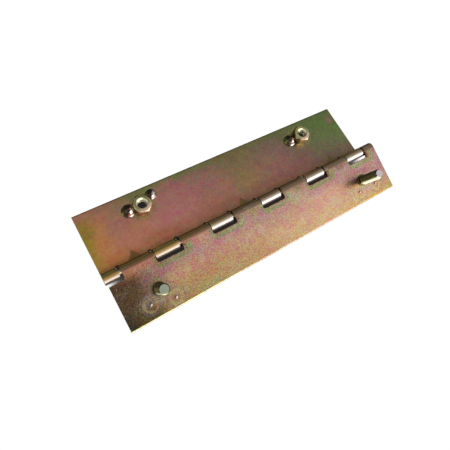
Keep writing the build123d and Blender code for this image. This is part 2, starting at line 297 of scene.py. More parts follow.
class Graph:
    """The node tree of one material, or of the world."""

    def __init__(self, owner: Union[str, bpy.types.World]) -> None:
        """Starts an empty tree.

        Args:
            owner: the name of a new material, or a world.
        """
        self.owner = bpy.data.materials.new(owner) if isinstance(owner, str) else owner
        self.owner.use_nodes = True
        self.tree = self.owner.node_tree
        self.tree.nodes.clear()

    def node(
        self,
        kind: str,
        settings: dict[str, Any] | None = None,
        inputs: Sequence[Source] | dict[str | int, Source] = (),
        output: int | str = 0,
    ) -> Wire:
        """Adds one node of any kind.

        Args:
            kind: Blender's name for the node type.
            settings: the node's own settings, set before its sockets; "stops" fills a ramp.
            inputs: values or wires for its sockets, in order or by socket name or number.
            output: the output that is returned.

        Returns:
            The chosen output.
        """
        made = self.tree.nodes.new(kind)
        for key, value in (settings or {}).items():
            if key == "stops":
                self._fill_ramp(made.color_ramp, value)
            else:
                setattr(made, key, value)
        named = inputs.items() if isinstance(inputs, dict) else enumerate(inputs)
        for key, value in named:
            self.join(value, made.inputs[key])
        return Wire(self, made.outputs[output])

    def join(self, value: Source, socket: bpy.types.NodeSocket) -> None:
        """Links a wire to a socket, or sets the socket's own value.

        Args:
            value: a wire, a number, or a colour or vector.
            socket: the input.
        """
        if isinstance(value, Wire):
            self.tree.links.new(value.socket, socket)
        elif socket.type == "RGBA":
            socket.default_value = (*value, 1.0)
        else:
            socket.default_value = value

    @staticmethod
    def _fill_ramp(ramp: bpy.types.ColorRamp, stops: Stops) -> None:
        """Sets a colour ramp's stops.

        Args:
            ramp: the ramp.
            stops: places from 0 to 1, each with its colour.
        """
        ramp.interpolation = "EASE"
        while len(ramp.elements) < len(stops):
            ramp.elements.new(0.5)
        for element, (place, colour) in zip(ramp.elements, stops):
            element.position = place
            element.color = (*colour, 1.0)

    def math(self, operation: str, *values: Source) -> Wire:
        """Adds one Math node and returns its output."""
        return self.node("ShaderNodeMath", {"operation": operation}, values)

    def length(self, across: Wire, along: Wire) -> Wire:
        """Length of the diagonal of two distances."""
        return self.math("SQRT", across * across + along * along)

    def ramp(self, factor: Source, stops: Stops) -> Wire:
        """Colour that follows a value from 0 to 1 through the given stops."""
        return self.node("ShaderNodeValToRGB", {"stops": stops}, [factor])

    def blend(self, factor: Source, below: Source, above: Source, how: str = "MIX") -> Wire:
        """Mixes two colours.

        Args:
            factor: share of the upper colour.
            below: colour at 0.
            above: colour at 1.
            how: Blender's blending mode.

        Returns:
            The mixed colour.
        """
        # The node has a set of sockets for each type of data, and these are the colours'.
        sockets = {0: factor, 6: below, 7: above}
        return self.node("ShaderNodeMix", {"data_type": "RGBA", "blend_type": how}, sockets, 2)

    def place(self) -> Wire:
        """Object coordinates in millimetres."""
        metres = self.node("ShaderNodeTexCoord", None, (), "Object")
        return self.node(
            "ShaderNodeVectorMath", {"operation": "SCALE"}, {"Vector": metres, "Scale": 1 / MM}
        )

    def split(self, vector: Wire) -> tuple[Wire, Wire, Wire]:
        """Splits a vector.

        Args:
            vector: the vector.

        Returns:
            Its three parts.
        """
        x = self.node("ShaderNodeSeparateXYZ", None, [vector], "X")
        outputs = x.socket.node.outputs
        return x, Wire(self, outputs["Y"]), Wire(self, outputs["Z"])

    def turned(self, vector: Wire, degrees: float, stretch: tuple[float, float, float]) -> Wire:
        """A vector turned about Z and then stretched, for marks that run one way.

        Args:
            vector: the vector.
            degrees: how far it is turned.
            stretch: its scale along each axis, below 1 for long marks.

        Returns:
            The new vector.
        """
        turn = self.node(
            "ShaderNodeVectorRotate",
            {"rotation_type": "Z_AXIS"},
            {"Vector": vector, "Angle": math.radians(degrees)},
        )
        return self.node("ShaderNodeVectorMath", {"operation": "MULTIPLY"}, [turn, stretch])

    def noise(self, vector: Wire, size: float, detail: float = 3.0, colour: bool = False) -> Wire:
        """Cloudy noise.

        Args:
            vector: where it is read, in millimetres.
            size: width of its largest clouds in millimetres.
            detail: octaves.
            colour: True for three separate channels.

        Returns:
            A value, or a colour, about 0.5.
        """
        return self.node(
            "ShaderNodeTexNoise",
            None,
            {"Vector": vector, "Scale": 1.0 / size, "Detail": detail, "Roughness": 0.55},
            "Color" if colour else "Fac",
        )

    def bump(self, height: Wire, depth_mm: float, strength: float) -> Wire:
        """Surface normal from a height of 0 to 1 that stands for a depth in millimetres.

        Args:
            height: the height.
            depth_mm: what a height of 1 stands for.
            strength: how much of it shows.

        Returns:
            The normal.
        """
        return self.node(
            "ShaderNodeBump",
            None,
            {"Height": height, "Distance": depth_mm * MM, "Strength": strength},
        )

    def finish(self, **sockets: Source) -> bpy.types.Material:
        """Ends the graph in a Principled shader.

        Args:
            sockets: values and wires by socket name, with _ for a space.

        Returns:
            The material.
        """
        inputs = {name.replace("_", " "): value for name, value in sockets.items()}
        return self.end(self.node("ShaderNodeBsdfPrincipled", None, inputs))

    def end(self, surface: Wire, kind: str = "ShaderNodeOutputMaterial") -> Any:
        """Ends the graph in a shader.

        Args:
            surface: the shader.
            kind: Blender's name for the output node.

        Returns:
            The material or world.
        """
        output = self.tree.nodes.new(kind)
        self.join(surface, output.inputs["Surface"])
        return self.owner


# --------------------------------------------------------------------------------------
# Finishes
# --------------------------------------------------------------------------------------


@dataclass(frozen=True)
class LeafLayout:
    """Where things are on one leaf, in millimetres, for the marks that its plating shows.

    Args:
        left: left end along the pin.
        right: right end along the pin.
        axis: pin axis in the Y-Z plane.
        fold: angle of the leaf below flat, in radians.
        side: -1 for the leaf that lies towards -Y, 1 for the other.
        width: pin axis to outer edge.
    """

    left: float
    right: float
    axis: tuple[float, float]
    fold: float
    side: int
    width: float


@dataclass(frozen=True)
class Mark:
    """A round mark in the film, such as the heat ring of a weld.

    Args:
        along: place along the pin.
        away: place away from the pin axis.
        radius: middle of the ring, or 0 for a spot.
        spread: half the width of the ring or spot.
        tint: its colour.
        strength: how much of the film it covers.
    """

    along: float
    away: float
    radius: float
    spread: float
    tint: Colour
    strength: float


@dataclass(frozen=True)
class Glint:
    """A painted glint, with a painted ring of shade round it, at one end of each knuckle.

    Args:
        first: place of one of them along the pin.
        lean: its angle round the pin from upright, in degrees.
    """

    first: float
    lean: float


@dataclass(frozen=True)
class Shade:
    """Painted shade beside the barrel, for the barrel's shadow and dark reflection on the leaf.

    Args:
        tint: its colour.
        strength: how much of the film it covers.
    """

    tint: Colour
    strength: float


@dataclass(frozen=True)
class EdgeLine:
    """A line of another colour along the outer edge, such as a painted highlight.

    Args:
        tint: its colour.
        strength: how much of the film it covers.
        stop: share of the leaf's length at which it ends, or more than 1.2 for all of it.
    """

    tint: Colour
    strength: float
    stop: float


@dataclass(frozen=True)
class Halo:
    """Bands of colour round the gaps in the barrel.

    Args:
        first: middle of one of them along the pin.
        width: width of what they surround.
        depth: pin axis to the bottom of a gap.
    """

    first: float
    width: float
    depth: float


@dataclass(frozen=True)
class DarkWedge:
    """Dark wedges that taper away from the barrel.

    Args:
        first: middle of one of them along the pin.
        pitch: step to the next.
        half: half their width at the barrel.
        reach: how far they go.
    """

    first: float
    pitch: float
    half: float
    reach: float


@dataclass(frozen=True)
class Patch:
    """The wires that tell a film where on the leaf it is.

    Args:
        g: the graph.
        p: place in millimetres.
        x: place along the pin.
        share: place along the leaf, from 0 to 1.
        down: distance from the pin axis along Y.
        up: distance from the pin axis along Z.
        away: distance from the pin axis along the leaf.
        speck: fine unevenness about 0.
    """

    g: Graph
    p: Wire
    x: Wire
    share: Wire
    down: Wire
    up: Wire
    away: Wire
    speck: Wire


@dataclass(frozen=True)
class YellowZinc:
    """Yellow-passivated zinc on a leaf: an iridescent film over fine rolling marks, with painted highlight and
    painted shade in its colours.

    Args:
        name: the material's name.
        layout: the leaf's sizes.
        bands: colours from left to right, each at its distance from the pin axis: the film with painted highlight
            and painted shade.
        roll: colours round the barrel at the left end, by angle from the underside: the film with painted
            highlight and painted shade.
        roll_right: the same at the right end.
        glint: a painted glint, with a painted ring of shade round it, at a knuckle's end.
        edge_line: the line along the outer edge.
        hue: strength of the fine mottling of the colour.
        grain: strength of the fine light and dark grain.
        marks: round marks.
        shade: painted shade beside the barrel, or None.
        halo: bands round the gaps in the barrel, or None.
        wedge: dark wedges beside the barrel, or None.
        roughness: of the clean film.
        cloud: width of the largest clouds in the film.
        wander: how far the bands of colour wander, in millimetres.
    """

    name: str
    layout: LeafLayout
    bands: tuple[tuple[float, Stops], ...]
    roll: Stops
    roll_right: Stops
    glint: Glint
    edge_line: EdgeLine
    hue: float
    grain: float
    marks: tuple[Mark, ...]
    shade: Shade | None = None
    halo: Halo | None = None
    wedge: DarkWedge | None = None
    roughness: float = 0.30
    cloud: float = 26.0
    wander: float = 7.0

    def material(self) -> bpy.types.Material:
        """Builds the finish.

        Returns:
            The leaf's material.
        """
        g = Graph(self.name)
        lay = self.layout
        p = g.place()
        x, y, z = g.split(p)
        down, up = y - lay.axis[0], z - lay.axis[1]
        away = down * (math.cos(lay.fold) * lay.side) - up * math.sin(lay.fold)
        drift = g.noise(p, self.cloud, 2.0) - 0.5
        speck = g.noise(p, 2.4, 4.0) - 0.5
        share = (x - lay.left) / (lay.right - lay.left) + drift * 0.10 + speck * 0.03
        at = Patch(g, p, x, share, down, up, away, speck)
        film = self.edged(at, self.banded(at))
        if self.halo:
            film = self.haloed(at, film)
        if self.wedge:
            film = self.darken_wedges(at, film)
        for mark in self.marks:
            film = self.stamped(at, film, mark)
        film = self.rolled(at, self.speckled(at, film))
        scratch = self.scratches(at)
        film = g.blend(scratch * (self.grain * 0.45), film, SCRATCHED)
        grain = g.noise(p, 0.8, 3.0)
        height = grain * 0.5 + g.noise(p, 3.0, 2.0) - scratch * 0.4
        return g.finish(
            Base_Color=film,
            Metallic=1.0,
            Roughness=grain * 0.12 + (self.roughness - 0.06) + drift * 0.1 - scratch * 0.05,
            Normal=g.bump(height, 0.02, 0.2 + self.grain * 0.12),
        )

    def banded(self, at: Patch) -> Wire:
        """Large bands of colour, with painted shade beside the barrel.

        Args:
            at: where on the leaf.

        Returns:
            The colour.
        """
        g = at.g
        out = at.away + (g.noise(at.p, 15.0, 2.0) - 0.5) * self.wander + at.speck * 2.5
        (start, stops), *others = self.bands
        film = g.ramp(at.share, stops)
        for end, stops in others:
            film = g.blend(out.rise(start, end), film, g.ramp(at.share, stops))
            start = end
        # Painted shade beside the barrel
        if self.shade:
            dusk = (at.away + at.speck * 1.5).rise(7.5, 3.6) * self.shade.strength
            film = g.blend(dusk, film, self.shade.tint)
        return film

    def edged(self, at: Patch, film: Wire) -> Wire:
        """Draws the line along the outer edge.

        Args:
            at: where on the leaf.
            film: colour so far.

        Returns:
            The colour with the line.
        """
        line = self.edge_line
        edge = self.layout.width
        rim = (at.away + at.speck * 0.6).rise(edge - 1.0, edge - 0.3)
        cover = rim * at.share.rise(line.stop, line.stop - 0.2) * line.strength
        return at.g.blend(cover, film, line.tint)

    def rolled(self, at: Patch, film: Wire) -> Wire:
        """Colours the rolled knuckles by their angle round the pin, with painted highlight and painted shade.

        Args:
            at: where on the leaf.
            film: colour so far.

        Returns:
            The colour with the knuckles.
        """
        g = at.g
        angle = g.math("ARCTAN2", -at.down, at.up)
        turn = angle * (0.5 / math.pi) + 0.5 + at.speck * 0.03
        left, right = g.ramp(turn, self.roll), g.ramp(turn, self.roll_right)
        coat = g.blend(at.share.rise(0.15, 0.5), left, right)
        steps = (at.x - self.glint.first) / PITCH + 0.5
        along = (g.math("FRACT", steps) - 0.5) * PITCH
        round_pin = (angle - math.radians(self.glint.lean)) * BARREL
        spot = g.length(along, round_pin)
        # Painted shade of the gap round each knuckle-end glint, then the painted glint itself
        coat = g.blend(spot.rise(1.2, 0.8), coat, GLINT_SHADE)
        coat = g.blend(spot.rise(0.65, 0.4), coat, GLINT_TINT)
        reach = g.length(at.down, at.up)
        return g.blend(reach.rise(BARREL + 0.35, BARREL + 0.05), film, coat)

    def haloed(self, at: Patch, film: Wire) -> Wire:
        """Draws pinkish and then greenish bands round each gap in the barrel, and a painted highlight on the gap's
        edge.

        Args:
            at: where on the leaf.
            film: colour so far.

        Returns:
            The colour with the bands.
        """
        g, halo = at.g, self.halo
        turn = g.math("PINGPONG", at.x - halo.first, PITCH / 2)
        beside = (turn - halo.width / 2).most(0.0)
        below = (at.away - halo.depth).most(0.0)
        gap = g.length(beside, below) + at.speck * 2.4
        round_gap = film
        for start, full, strength, tint in (
            # Pink and green bands of film, then a painted highlight on the gap's rounded edge, then a dark line at
            # the edge itself
            (8.5, 4.5, 0.6, (0.74, 0.34, 0.36)),
            (4.1, 2.7, at.speck * 0.8 + 0.75, (0.37, 0.44, 0.18)),
            (1.1, 0.6, 0.8, (0.66, 0.36, 0.24)),
            (0.5, 0.2, 0.6, (0.16, 0.11, 0.05)),
        ):
            round_gap = g.blend(gap.rise(start, full) * strength, round_gap, tint)
        return g.blend(at.share.rise(0.06, 0.13), film, round_gap)

    def darken_wedges(self, at: Patch, film: Wire) -> Wire:
        """Draws the dark wedges beside the barrel.

        Args:
            at: where on the leaf.
            film: colour so far.

        Returns:
            The colour with the stains.
        """
        wedge = self.wedge
        beside = at.g.math("PINGPONG", at.x - wedge.first, wedge.pitch / 2)
        taper = beside / wedge.half + (at.away - 3.3) / wedge.reach + at.speck * 0.5
        return at.g.blend(taper.rise(1.15, 0.75) * 0.75, film, WEDGE_TINT)

    @staticmethod
    def stamped(at: Patch, film: Wire, mark: Mark) -> Wire:
        """Adds one round mark.

        Args:
            at: where on the leaf.
            film: colour so far.
            mark: the mark.

        Returns:
            The colour with the mark.
        """
        far = at.g.length(at.x - mark.along, at.away - mark.away)
        off = abs(far + at.speck * (1.0 + mark.radius * 0.3) - mark.radius)
        worn = (at.speck + 0.5).rise(0.34, 0.5) * 0.7 + 0.3
        cover = off.rise(mark.spread, mark.spread * 0.25) * worn * mark.strength
        return at.g.blend(cover, film, mark.tint)

    def speckled(self, at: Patch, film: Wire) -> Wire:
        """Fine mottling of the film in colour, and a finer grain of light and dark.

        Args:
            at: where on the leaf.
            film: colour so far.

        Returns:
            The mottled colour.
        """
        g = at.g
        for size, share in ((5.0, 0.35), (1.6, 0.6)):
            hues = g.noise(at.p, size, 2.0, colour=True)
            film = g.blend(self.hue * share, film, hues, "OVERLAY")
        light = g.ramp(g.noise(at.p, 0.7, 2.0), GRAIN_LIGHT)
        film = g.blend(self.grain * 0.36, film, light, "OVERLAY")
        fleck = g.noise(at.p, 1.1, 3.0).rise(0.62, 0.72)
        return g.blend(fleck * self.grain * 0.35, film, FLECKED)

    @staticmethod
    def scratches(at: Patch) -> Wire:
        """Hairline scratches in several directions.

        Args:
            at: where on the leaf.

        Returns:
            A mask, 1 on a scratch.
        """
        g = at.g
        mask: Wire | None = None
        for degrees, spacing in ((12.0, 1.1), (-38.0, 1.4), (64.0, 1.2), (101.0, 1.6)):
            line = g.noise(g.turned(at.p, degrees, (0.06, 1.0, 1.0)), spacing, 1.0)
            where = g.noise(at.p, 6.0 + spacing, 2.0).rise(0.52, 0.64)
            sharp = abs(line - 0.5).rise(0.012, 0.0) * where
            mask = sharp if mask is None else mask.most(sharp)
        return mask


@dataclass(frozen=True)
class PlatedSteel:
    """Yellow-passivated zinc on a small turned or pressed part, with a painted highlight down one side.

    Args:
        name: the material's name.
        centre: a point on the part's axis, in millimetres.
        lean: how far the axis leans towards +Y, in radians.
        body: colours outwards from the axis, in centimetres.
        lit: colour of the painted highlight on the side that faces the light.
        hand: direction of that light about the axis, in degrees from +X.
        tip: colour of the free end, or None.
        level: height of the free end above the centre.
        roughness: of the clean film.
    """

    name: str
    centre: Vector
    lean: float
    body: Stops
    lit: Colour
    hand: float = -60.0
    tip: Colour | None = None
    level: float = 0.0
    roughness: float = 0.22

    def material(self) -> bpy.types.Material:
        """Builds the finish.

        Returns:
            The part's material.
        """
        g = Graph(self.name)
        p = g.place()
        x, y, z = g.split(p)
        dx, dy, dz = x - self.centre.x, y - self.centre.y, z - self.centre.z
        cos, sin = math.cos(self.lean), math.sin(self.lean)
        across, rise = dy * cos - dz * sin, dz * cos + dy * sin
        reach = g.length(dx, across)
        cloud = g.noise(p, 2.5, 3.0)
        film = g.ramp(reach * 0.1 + (cloud - 0.5) * 0.04, self.body)
        # Painted highlight on the side that faces the light
        way = math.radians(self.hand)
        facing = (dx * math.cos(way) + across * math.sin(way)) / (reach + 0.01)
        sides = (facing + (cloud - 0.5) * 0.3).rise(0.4, 0.7) * reach.rise(2.2, 2.6)
        film = g.blend(sides * 0.85, film, self.lit)
        if self.tip:
            collar = rise.rise(2.2, 1.4) * reach.rise(2.9, 3.3)
            film = g.blend(collar * 0.8, film, COLLAR)
            film = g.blend(rise.rise(self.level - 0.08, self.level - 0.02), film, self.tip)
        film = g.blend(cloud.rise(0.55, 0.75) * 0.3, film, BLUSH)
        grain = g.noise(p, 0.35, 2.0)
        film = g.blend(grain.rise(0.5, 0.9) * 0.3, film, GRIME)
        return g.finish(
            Base_Color=film,
            Metallic=1.0,
            Roughness=grain * 0.15 + (self.roughness - 0.07),
            Normal=g.bump(grain, 0.012, 0.4),
        )


@dataclass(frozen=True)
class WeldBead:
    """Plated weld metal, with painted shade on one side and a painted glint on the other.

    Args:
        name: the material's name.
        centre: middle of the bead's foot, in millimetres.
        radius: of the foot.
    """

    name: str
    centre: Vector
    radius: float

    def material(self) -> bpy.types.Material:
        """Builds the finish.

        Returns:
            The bead's material.
        """
        g = Graph(self.name)
        p = g.place()
        x, y, _ = g.split(p)
        cloud = g.noise(p, 1.3, 3.0)
        right, down = x - self.centre.x, self.centre.y - y
        # Painted shade away from +X and -Y, painted glint towards them
        hand = (right * 0.85 + down * 0.5) / self.radius + (cloud - 0.5) * 0.9
        return g.finish(
            Base_Color=g.ramp(hand * 0.5 + 0.5, WELD_SHADE_AND_GLINT),
            Metallic=1.0,
            Roughness=cloud * 0.12 + 0.1,
            Normal=g.bump(g.noise(p, 0.8, 2.0), 0.02, 0.3),
        )


@dataclass(frozen=True)
class PaleFloor:
    """Plain white studio floor that is clear from below. To the camera it glows white, dimmed by a painted contact
    shadow under the hinge; in reflections it is dark grey, standing in for the shade under the hinge.

    Args:
        name: the material's name.
        reach: how far the hinge's soft contact shadow goes, in metres.
    """

    name: str = "studio_floor"
    reach: float = 0.03

    def material(self) -> bpy.types.Material:
        """Builds the finish.

        Returns:
            The floor's material.
        """
        g = Graph(self.name)
        seen = g.node("ShaderNodeLightPath", None, (), "Is Camera Ray")
        settings = {"samples": 24}
        # Painted contact shadow: the floor's white glow dims where the hinge hides it
        sky = g.node("ShaderNodeAmbientOcclusion", settings, {"Distance": self.reach}, "AO")
        glow = {"Color": WHITE, "Strength": sky.rise(0.3, 0.55) + 0.02}
        lit = g.node("ShaderNodeEmission", None, glow)
        # Dark grey to reflections and bounced light, standing in for the shade under the hinge
        matt = g.node("ShaderNodeBsdfDiffuse", None, {"Color": (0.2, 0.2, 0.2)})
        above = g.node("ShaderNodeMixShader", None, [seen, matt, lit])
        clear = g.node("ShaderNodeBsdfTransparent")
        below = g.node("ShaderNodeNewGeometry", None, (), "Backfacing")
        return g.end(g.node("ShaderNodeMixShader", None, [below, above, clear]))


# --------------------------------------------------------------------------------------
# Modelling
# --------------------------------------------------------------------------------------


class Cut(Enum):
    """How one shape is combined with another."""

    JOIN = "UNION"
    CARVE = "DIFFERENCE"
    KEEP = "INTERSECT"


class Bench:
    """Modelling steps shared by every piece."""

    @staticmethod
    def clear() -> None:
        """Leaves edit mode with nothing selected."""
        if bpy.context.mode != "OBJECT":
            bpy.ops.object.mode_set(mode="OBJECT")
        bpy.ops.object.select_all(action="DESELECT")

    @staticmethod
    def take(piece: bpy.types.Object) -> None:
        """Makes a piece the only one selected, and active.

        Args:
            piece: the piece.
        """
        Bench.clear()
        piece.select_set(True)
        bpy.context.view_layer.objects.active = piece

    @staticmethod
    def added(name: str) -> bpy.types.Object:
        """Names the object that an operator has just added.

        Args:
            name: its name, and its mesh's.

        Returns:
            The object.
        """
        piece = bpy.context.active_object
        piece.name = name
        piece.data.name = name
        return piece

    @staticmethod
    def edit(piece: bpy.types.Object, kind: str = "FACE", action: str = "DESELECT") -> None:
        """Opens a piece in edit mode.

        Args:
            piece: the piece.
            kind: VERT, EDGE or FACE.
            action: SELECT for all of it selected, DESELECT for nothing.
        """
        Bench.take(piece)
        bpy.ops.object.mode_set(mode="EDIT")
        bpy.ops.mesh.select_mode(type=kind)
        bpy.ops.mesh.select_all(action=action)

    @staticmethod
    def pick(piece: bpy.types.Object, kind: str, test: Callable[[Any], bool]) -> None:
        """Selects vertices, edges or faces of the piece in edit mode.

        Args:
            piece: the piece, open in edit mode.
            kind: verts, edges or faces.
            test: says whether one is wanted.
        """
        shape = bmesh.from_edit_mesh(piece.data)
        for item in getattr(shape, kind):
            if test(item):
                item.select_set(True)
        shape.select_flush(True)
        bmesh.update_edit_mesh(piece.data)

    @staticmethod
    def pick_end(piece: bpy.types.Object, height: float) -> None:
        """Opens a piece in edit mode with its flat end at a height selected.

        Args:
            piece: the piece.
            height: level of the end.
        """
        Bench.edit(piece)
        Bench.pick(piece, "faces", lambda f: all(abs(v.co.z - height) < TOUCH for v in f.verts))

    @staticmethod
    def cylinder(
        name: str, radius: float, low: float, high: float, sides: int = FINE_SIDES
    ) -> bpy.types.Object:
        """Upright cylinder or prism between two heights.

        Args:
            name: name of the object.
            radius: its radius, or a prism's radius to the corners.
            low: lower end.
            high: upper end.
            sides: number of sides. A round cylinder is turned a little, so that no edge of
                it lies exactly on a corner of a hexagon.

        Returns:
            The object.
        """
        Bench.clear()
        bpy.ops.mesh.primitive_cylinder_add(
            vertices=sides,
            radius=radius,
            depth=high - low,
            location=(0, 0, (low + high) / 2),
            rotation=(0, 0, 0.0 if sides == HEXAGON else math.radians(ROUND_SPIN)),
        )
        piece = Bench.added(name)
        bpy.ops.object.transform_apply(location=True, rotation=True, scale=True)
        return piece

    @staticmethod
    def widen(height: float, scale: float) -> None:
        """Scales what is selected about the Z axis, at a height."""
        bpy.ops.transform.resize(value=(scale, scale, 1), center_override=(0, 0, height))

    @staticmethod
    def step_end(piece: bpy.types.Object, height: float, rise: float, scale: float) -> None:
        """Extrudes the flat end at a height, and scales it.

        Args:
            piece: the piece.
            height: level of the end that is extruded.
            rise: how far it goes.
            scale: size of the new end against the old.
        """
        Bench.pick_end(piece, height)
        bpy.ops.mesh.extrude_region_move(TRANSFORM_OT_translate={"value": (0, 0, rise)})
        Bench.widen(height + rise, scale)
        bpy.ops.object.mode_set(mode="OBJECT")

    @staticmethod
    def slice_off(piece: bpy.types.Object, level: float, outward: int) -> None:
        """Cuts a piece flat at a height, and closes the cut.

        Args:
            piece: the piece.
            level: height of the cut.
            outward: 1 to take off what is above it, -1 for what is below.
        """
        Bench.edit(piece, "VERT", "SELECT")
        bpy.ops.mesh.bisect(
            plane_co=(0, 0, level),
            plane_no=(0, 0, outward),
            use_fill=True,
            clear_outer=True,
            threshold=1e-6,
        )
        bpy.ops.object.mode_set(mode="OBJECT")

    @staticmethod
    def combine(piece: bpy.types.Object, other: bpy.types.Object, how: Cut) -> None:
        """Combines a piece with another shape, and removes the other.

        Args:
            piece: the piece, which is changed.
            other: the other shape.
            how: whether it is joined, carved out, or what is common to both is kept.
        """
        Bench.take(piece)
        change = piece.modifiers.new("combine", "BOOLEAN")
        change.operation = how.value
        change.solver = "EXACT"
        change.object = other
        bpy.ops.object.modifier_apply(modifier=change.name)
        Bench.take(other)
        bpy.ops.object.delete()

    @staticmethod
    def round_edges(piece: bpy.types.Object, width: float, segments: int, degrees: float) -> None:
        """Rounds the edges that are sharper than an angle.

        Args:
            piece: the piece.
            width: width of the rounding.
            segments: how many faces cross it.
            degrees: the angle.
        """
        Bench.take(piece)
        change = piece.modifiers.new("rounding", "BEVEL")
        change.width = width
        change.segments = segments
        change.limit_method = "ANGLE"
        change.angle_limit = math.radians(degrees)
        change.use_clamp_overlap = True
        bpy.ops.object.modifier_apply(modifier=change.name)

    @staticmethod
    def smooth(piece: bpy.types.Object, degrees: float) -> None:
        """Smooth shading that keeps the edges sharper than an angle."""
        Bench.take(piece)
        bpy.ops.object.shade_smooth_by_angle(angle=math.radians(degrees))

    @staticmethod
    def clean(piece: bpy.types.Object) -> None:
        """Merges doubled points and turns every face outwards.

        Args:
            piece: the piece.
        """
        Bench.edit(piece, "VERT", "SELECT")
        bpy.ops.mesh.remove_doubles(threshold=TOUCH)
        bpy.ops.mesh.normals_make_consistent(inside=False)
        bpy.ops.object.mode_set(mode="OBJECT")

    @staticmethod
    def put(piece: bpy.types.Object, seat: Matrix) -> None:
        """Brings a piece modelled in millimetres to its seat, and applies its place.

        Args:
            piece: the piece.
            seat: where it goes, in metres.
        """
        Bench.take(piece)
        piece.matrix_world = seat @ Matrix.Scale(MM, 4)
        bpy.ops.object.transform_apply(location=True, rotation=True, scale=True)

    @staticmethod
    def dress(piece: bpy.types.Object, material: bpy.types.Material) -> None:
        """Gives a piece its one material."""
        piece.data.materials.clear()
        piece.data.materials.append(material)


@dataclass
class Thread:
    """Metric thread, cut as a screw-shaped solid about the Z axis.

    Args:
        crest: radius of the crests.
        pitch: step of one turn.
        steps: faces in one turn.
        root_flat: width of the flat root against the pitch.
        flank: width of a flank against the pitch.
        crest_flat: width of the flat crest against the pitch.
        lead_in: turns that start below the lower end.
        depth: height of the crests over the roots, worked out from the pitch.
    """

    crest: float = 3.0
    pitch: float = 1.0
    steps: int = 40
    root_flat: float = 0.25
    flank: float = 0.3125
    crest_flat: float = 0.125
    lead_in: float = 1.3
    depth: float = field(init=False)

    def __post_init__(self) -> None:
        """Works out the depth of a standard 60 degree thread."""
        self.depth = 0.5413 * self.pitch

    def solid(self, name: str, low: float, high: float) -> bpy.types.Object:
        """Models the thread between two heights.

        Args:
            name: name of the object.
            low: lower end.
            high: upper end.

        Returns:
            A closed solid.
        """
        root = self.crest - self.depth
        Bench.clear()
        bpy.ops.mesh.primitive_plane_add(size=0.1, location=(0, 0, 0))
        piece = Bench.added(name)
        Bench.edit(piece, "VERT", "SELECT")
        bpy.ops.mesh.merge(type="CENTER")
        bpy.ops.transform.translate(value=(root, 0, low - self.lead_in * self.pitch))
        for out, up in (
            (0, self.root_flat * self.pitch),
            (self.depth, self.flank * self.pitch),
            (0, self.crest_flat * self.pitch),
            (-self.depth, self.flank * self.pitch),
        ):
            bpy.ops.mesh.extrude_vertices_move(TRANSFORM_OT_translate={"value": (out, 0, up)})
        bpy.ops.object.mode_set(mode="OBJECT")
        wind = piece.modifiers.new("wind", "SCREW")
        wind.axis = "Z"
        wind.screw_offset = self.pitch
        wind.iterations = math.ceil((high - low) / self.pitch) + 2
        wind.steps = self.steps
        wind.render_steps = self.steps
        bpy.ops.object.modifier_apply(modifier=wind.name)
        Bench.clean(piece)
        Bench.slice_off(piece, low, -1)
        Bench.slice_off(piece, high, 1)
        Bench.clean(piece)
        return piece


# --------------------------------------------------------------------------------------
# Sub-assemblies
# --------------------------------------------------------------------------------------


def mount(name: str) -> dict[str, Any]:
    """The record's mount of that name."""
    return next(m for m in frame["record"]["mounts"] if m["name"] == name)


def seat(origin: Vector, normal: Vector) -> Matrix:
    """Placement with local Z on a normal and local X as near as it can be to the pin's way.

    Args:
        origin: the place.
        normal: the normal.

    Returns:
        The placement.
    """
    z = normal.normalized()
    y = z.cross(Vector((1, 0, 0))).normalized()
    turn = Matrix((y.cross(z), y, z)).transposed().to_4x4()
    return Matrix.Translation(origin) @ turn


def corner_radius(across_flats: float) -> float:
    """Radius of a hexagon's corners."""
    return across_flats / 2 / math.cos(math.pi / 6)


